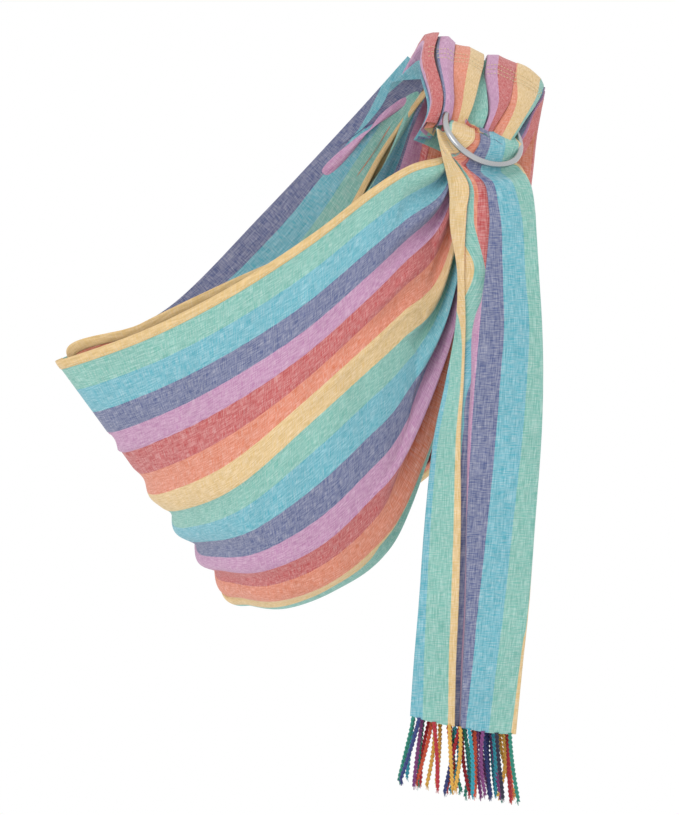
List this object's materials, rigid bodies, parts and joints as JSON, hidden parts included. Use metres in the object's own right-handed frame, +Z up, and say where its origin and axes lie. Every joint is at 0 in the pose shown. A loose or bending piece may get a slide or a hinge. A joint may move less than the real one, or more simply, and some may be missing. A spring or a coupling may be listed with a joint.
{
  "type": "ring sling baby carrier",
  "caption": "Worn ring sling: striped woven cloth over one shoulder, a seat pouch across the front, two sling rings and a loose fringed tail.",
  "frame": {"origin": "the seat on the wearer's shoulder, under the middle of the gathered cloth", "axes": "+Z up, +X to the side of the shoulder that carries it, +Y from the front to the back of the wearer"},
  "size_m": [0.5058, 0.2966, 0.7778],
  "materials": {
    "woven_stripe": "matte chambray weave in seven striped colours",
    "rolled_hem": "matte rolled and stitched hem",
    "sewing_thread": "polyester thread",
    "ring_metal": "satin polished",
    "fringe_yarn": "twisted cotton yarn"
  },
  "bodies": {
    "root": {"pleats_neck": "woven_stripe", "pleats_middle": "woven_stripe", "pleats_arm": "woven_stripe", "shoulder_turn": "woven_stripe", "stitch_row_1": "sewing_thread", "stitch_row_2": "sewing_thread", "stitch_row_3": "sewing_thread", "ring_band": "woven_stripe", "back_panel_upper": "woven_stripe", "back_panel_lower": "woven_stripe", "back_flap": "woven_stripe", "back_flap_hem": "rolled_hem", "pouch_side": "woven_stripe", "side_tuck": "woven_stripe", "pouch_front": "woven_stripe", "pouch_bottom": "woven_stripe", "pouch_inside": "woven_stripe", "front_fan": "woven_stripe", "front_fan_inside": "woven_stripe", "top_rail_hem": "rolled_hem", "bottom_rail_hem": "rolled_hem", "back_bottom_hem": "rolled_hem"},
    "ring_front": {"ring_front": "ring_metal"},
    "ring_back": {"ring_back": "ring_metal"},
    "tail_upper": {"tail_upper_front": "woven_stripe", "tail_upper_back": "woven_stripe"},
    "tail": {"tail_right_fold": "woven_stripe", "tail_valley": "woven_stripe", "tail_left_fold": "woven_stripe", "tail_layer_2": "woven_stripe", "tail_layer_3": "woven_stripe", "tail_end_hem": "rolled_hem"},
    "fringe_left": {"fringe_cord_1": "fringe_yarn", "fringe_cord_2": "fringe_yarn", "fringe_cord_3": "fringe_yarn", "fringe_cord_4": "fringe_yarn", "fringe_cord_5": "fringe_yarn", "fringe_cord_6": "fringe_yarn", "fringe_cord_7": "fringe_yarn", "fringe_cord_8": "fringe_yarn", "fringe_cord_9": "fringe_yarn"},
    "fringe_middle": {"fringe_cord_10": "fringe_yarn", "fringe_cord_11": "fringe_yarn", "fringe_cord_12": "fringe_yarn", "fringe_cord_13": "fringe_yarn", "fringe_cord_14": "fringe_yarn", "fringe_cord_15": "fringe_yarn", "fringe_cord_16": "fringe_yarn", "fringe_cord_17": "fringe_yarn", "fringe_cord_18": "fringe_yarn", "fringe_cord_19": "fringe_yarn"},
    "fringe_right": {"fringe_cord_20": "fringe_yarn", "fringe_cord_21": "fringe_yarn", "fringe_cord_22": "fringe_yarn", "fringe_cord_23": "fringe_yarn", "fringe_cord_24": "fringe_yarn", "fringe_cord_25": "fringe_yarn", "fringe_cord_26": "fringe_yarn", "fringe_cord_27": "fringe_yarn", "fringe_cord_28": "fringe_yarn"}
  },
  "joints": [
    {"name": "ring_front_tilt", "type": "hinge", "parent": "root", "child": "ring_front", "pos_m": [0.00861, -0.06363, -0.05029], "axis": [-0.8241, 0, 0.5664], "range_deg": [0, 2.5]},
    {"name": "ring_back_turn", "type": "hinge", "parent": "root", "child": "ring_back", "pos_m": [-0.00655, -0.0744, -0.07235], "axis": [0.4255, -0.66, 0.6191], "continuous": true},
    {"name": "tail_slide", "type": "slide", "parent": "root", "child": "tail_upper", "axis": [0, -0.1961, -0.9806], "range_m": [0, 0.06]},
    {"name": "tail_swing", "type": "hinge", "parent": "tail_upper", "child": "tail", "pos_m": [0, -0.1525, -0.214], "axis": [-1, 0, 0], "range_deg": [0, 45]},
    {"name": "fringe_left_swing", "type": "hinge", "parent": "tail", "child": "fringe_left", "pos_m": [-0.063, -0.147, -0.664], "axis": [-1, 0, 0], "range_deg": [-35, 35]},
    {"name": "fringe_middle_swing", "type": "hinge", "parent": "tail", "child": "fringe_middle", "pos_m": [-0.025, -0.147, -0.67], "axis": [-1, 0, 0], "range_deg": [-35, 35]},
    {"name": "fringe_right_swing", "type": "hinge", "parent": "tail", "child": "fringe_right", "pos_m": [0.015, -0.147, -0.676], "axis": [-1, 0, 0], "range_deg": [-35, 35]}
  ]
}
